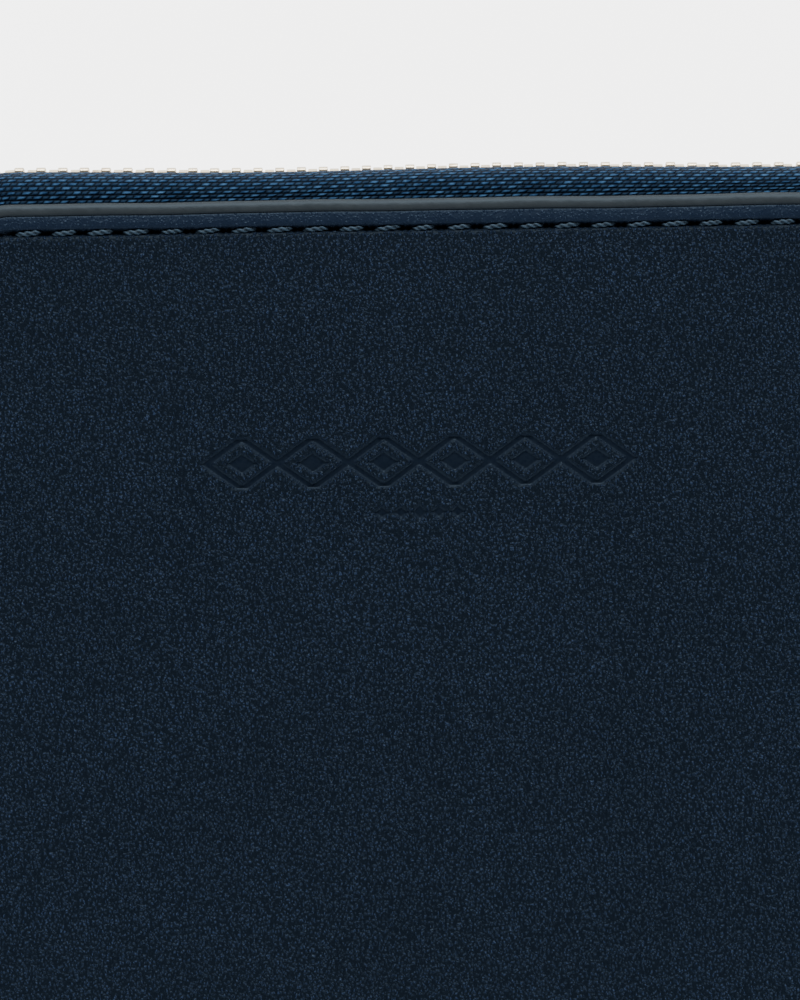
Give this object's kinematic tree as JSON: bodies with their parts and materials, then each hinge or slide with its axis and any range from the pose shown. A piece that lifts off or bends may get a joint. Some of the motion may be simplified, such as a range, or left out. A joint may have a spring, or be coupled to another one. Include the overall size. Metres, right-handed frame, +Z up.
{
  "type": "zip-around passport wallet",
  "caption": "Zip-around leather passport wallet: two stitched covers hinged on a spine strip, a closed metal zip round three sides, passport pocket and card slots inside.",
  "frame": {"origin": "centre of the closed wallet's bounding box in X and Y, on the surface it lies on", "axes": "+X from the spine to the fore-edge, +Y to the top edge, +Z up through the thickness, front cover on top"},
  "size_m": [0.1136, 0.1624, 0.021],
  "materials": {
    "leather": "fine pebbled grain, dark navy, painted edges",
    "lining_leather": "smooth thin leather, dark navy",
    "board": "grey-brown stiffener board",
    "thread": "twisted waxed thread, slate blue",
    "zip_tape": "woven twill tape, navy with blue floats",
    "zip_metal": "polished pale gold plating"
  },
  "bodies": {
    "back_cover": {"back_panel": "leather", "back_board": "board", "back_lining": "lining_leather", "back_stitching": "thread", "back_spine_hem": "leather", "passport_pocket_panel": "lining_leather", "passport_pocket_gusset": "leather", "passport_pocket_binding": "leather", "passport_pocket_stitching": "thread", "zip_tape_back": "zip_tape", "zip_tape_ends": "zip_tape", "zip_teeth_back_top": "zip_metal", "zip_teeth_back_fore": "zip_metal", "zip_teeth_back_bottom": "zip_metal", "zip_top_stops": "zip_metal", "zip_bottom_stop": "zip_metal"},
    "spine": {"spine_panel": "leather", "spine_lining": "lining_leather"},
    "front_cover": {"front_panel": "leather", "front_board": "board", "front_lining": "lining_leather", "front_stitching": "thread", "front_spine_hem": "leather", "slip_pocket_panel": "lining_leather", "card_slot_1": "lining_leather", "card_slot_2": "lining_leather", "card_slot_3": "lining_leather", "card_slot_4": "lining_leather", "card_slot_stitching": "thread", "zip_tape_front": "zip_tape", "zip_teeth_front_top": "zip_metal", "zip_teeth_front_fore": "zip_metal", "zip_teeth_front_bottom": "zip_metal"},
    "slider": {"slider_body": "zip_metal", "slider_bail": "zip_metal"},
    "pull": {"pull_bar": "zip_metal", "pull_tab": "zip_metal"}
  },
  "joints": [
    {"name": "spine_fold", "type": "hinge", "parent": "back_cover", "child": "spine", "pos_m": [-0.05538, 0.00175, 0.00145], "axis": [0, -1, 0], "range_deg": [0, 90], "deforming": ["zip_teeth_back_top", "zip_teeth_front_top"]},
    {"name": "cover_fold", "type": "hinge", "parent": "spine", "child": "front_cover", "pos_m": [-0.05538, 0.00175, 0.01955], "axis": [0, -1, 0], "range_deg": [0, 90]},
    {"name": "slider_travel", "type": "slide", "parent": "back_cover", "child": "slider", "axis": [1, 0, 0], "range_m": [0, 0.082], "deforming": ["zip_teeth_back_bottom", "zip_teeth_front_bottom"]},
    {"name": "pull_swing", "type": "hinge", "parent": "slider", "child": "pull", "pos_m": [-0.04213, -0.0797, 0.0105], "axis": [0, 0, -1], "range_deg": [0, 180]}
  ],
  "couplings": [
    {"joint": "cover_fold", "follows": "spine_fold", "ratio": 1}
  ]
}
